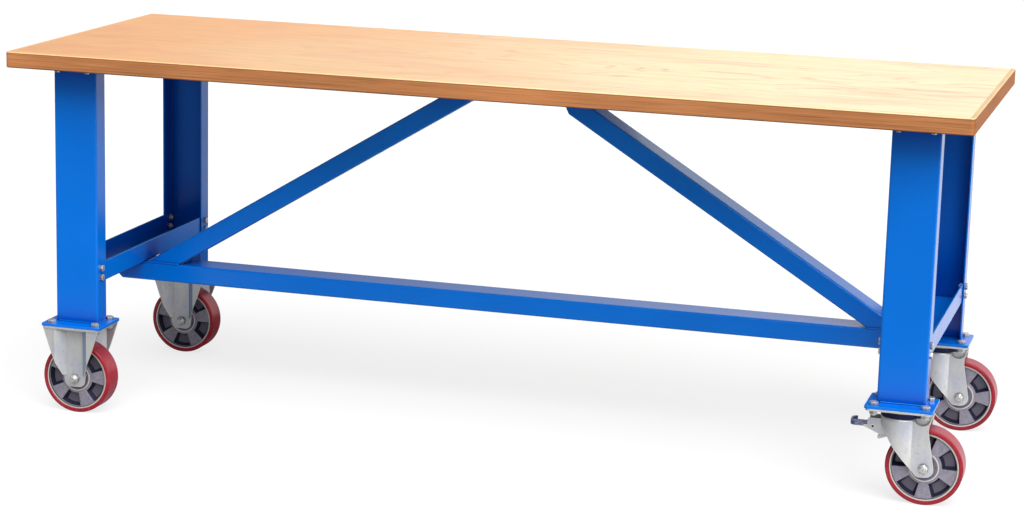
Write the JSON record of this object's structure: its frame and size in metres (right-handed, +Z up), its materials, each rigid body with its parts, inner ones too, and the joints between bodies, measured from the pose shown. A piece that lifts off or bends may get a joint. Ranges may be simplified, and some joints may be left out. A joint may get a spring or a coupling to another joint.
{
  "type": "mobile assembly table",
  "caption": "Long work table: edged wooden top, blue channel legs, lower beam with diagonal braces, fixed casters at one end and braked swivel casters at the other.",
  "frame": {"origin": "on the floor, under the middle of the worktop", "axes": "+X along the length towards the swivel casters, +Y from the front to the rear, +Z up"},
  "size_m": [2.092, 0.76, 0.815],
  "materials": {
    "worktop_veneer": "satin varnish",
    "worktop_edging": "satin varnish",
    "blue_paint": "gloss powder coat",
    "tread": "smooth polyurethane",
    "rim": "cast",
    "bearing_steel": "ground",
    "race": "dark, greased",
    "fastener_zinc": "bright zinc",
    "caster_zinc": "bright zinc"
  },
  "bodies": {
    "frame": {"brace_head_rail": "blue_paint", "brace_left": "blue_paint", "brace_right": "blue_paint", "caster_bolts": "fastener_zinc", "caster_nuts": "fastener_zinc", "caster_washers": "fastener_zinc", "cross_member_bolts": "fastener_zinc", "cross_member_left": "blue_paint", "cross_member_nuts": "fastener_zinc", "cross_member_right": "blue_paint", "fixed_axle_bolts": "fastener_zinc", "fixed_axle_nuts": "fastener_zinc", "fixed_axle_sleeves": "fastener_zinc", "fixed_bracket_front": "caster_zinc", "fixed_bracket_rear": "caster_zinc", "foot_plate_front_left": "blue_paint", "foot_plate_front_right": "blue_paint", "foot_plate_rear_left": "blue_paint", "foot_plate_rear_right": "blue_paint", "leg_front_left": "blue_paint", "leg_front_right": "blue_paint", "leg_head_plates": "blue_paint", "leg_rear_left": "blue_paint", "leg_rear_right": "blue_paint", "lower_beam": "blue_paint", "swivel_kingpins": "fastener_zinc", "swivel_plate_front": "caster_zinc", "swivel_plate_rear": "caster_zinc", "tabletop_core": "worktop_veneer", "tabletop_edging_long": "worktop_edging", "tabletop_edging_short": "worktop_edging", "top_screws": "fastener_zinc"},
    "wheel_front_left": {"wheel_rim_front_left": "rim", "wheel_tyre_front_left": "tread", "wheel_bearings_front_left": "bearing_steel"},
    "wheel_front_right": {"wheel_rim_front_right": "rim", "wheel_tyre_front_right": "tread", "wheel_bearings_front_right": "bearing_steel"},
    "wheel_rear_left": {"wheel_rim_rear_left": "rim", "wheel_tyre_rear_left": "tread", "wheel_bearings_rear_left": "bearing_steel"},
    "wheel_rear_right": {"wheel_rim_rear_right": "rim", "wheel_tyre_rear_right": "tread", "wheel_bearings_rear_right": "bearing_steel"},
    "fork_front": {"swivel_fork_front": "caster_zinc", "swivel_race_front": "race", "brake_bracket_front": "caster_zinc", "brake_pin_front": "fastener_zinc", "axle_sleeve_front": "fastener_zinc", "axle_bolt_front": "fastener_zinc", "axle_nut_front": "fastener_zinc"},
    "pedal_front": {"brake_pedal_front": "caster_zinc"},
    "fork_rear": {"swivel_fork_rear": "caster_zinc", "swivel_race_rear": "race", "brake_bracket_rear": "caster_zinc", "brake_pin_rear": "fastener_zinc", "axle_sleeve_rear": "fastener_zinc", "axle_bolt_rear": "fastener_zinc", "axle_nut_rear": "fastener_zinc"},
    "pedal_rear": {"brake_pedal_rear": "caster_zinc"}
  },
  "joints": [
    {"name": "wheel_front_left_spin", "type": "hinge", "parent": "frame", "child": "wheel_front_left", "pos_m": [-0.9175, -0.276, 0.08], "axis": [0, 1, 0], "continuous": true},
    {"name": "wheel_rear_left_spin", "type": "hinge", "parent": "frame", "child": "wheel_rear_left", "pos_m": [-0.9175, 0.313, 0.08], "axis": [0, 1, 0], "continuous": true},
    {"name": "caster_front_swivel", "type": "hinge", "parent": "frame", "child": "fork_front", "pos_m": [0.9175, -0.276, 0.181], "axis": [0, 0, 1], "continuous": true},
    {"name": "wheel_front_right_spin", "type": "hinge", "parent": "fork_front", "child": "wheel_front_right", "pos_m": [0.972, -0.276, 0.08], "axis": [0, 1, 0], "continuous": true},
    {"name": "brake_front_press", "type": "hinge", "parent": "fork_front", "child": "pedal_front", "pos_m": [0.8625, -0.276, 0.1545], "axis": [0, -1, 0], "range_deg": [0, 12]},
    {"name": "caster_rear_swivel", "type": "hinge", "parent": "frame", "child": "fork_rear", "pos_m": [0.9175, 0.313, 0.181], "axis": [0, 0, 1], "continuous": true},
    {"name": "wheel_rear_right_spin", "type": "hinge", "parent": "fork_rear", "child": "wheel_rear_right", "pos_m": [0.972, 0.313, 0.08], "axis": [0, 1, 0], "continuous": true},
    {"name": "brake_rear_press", "type": "hinge", "parent": "fork_rear", "child": "pedal_rear", "pos_m": [0.8625, 0.313, 0.1545], "axis": [0, -1, 0], "range_deg": [0, 12]}
  ]
}
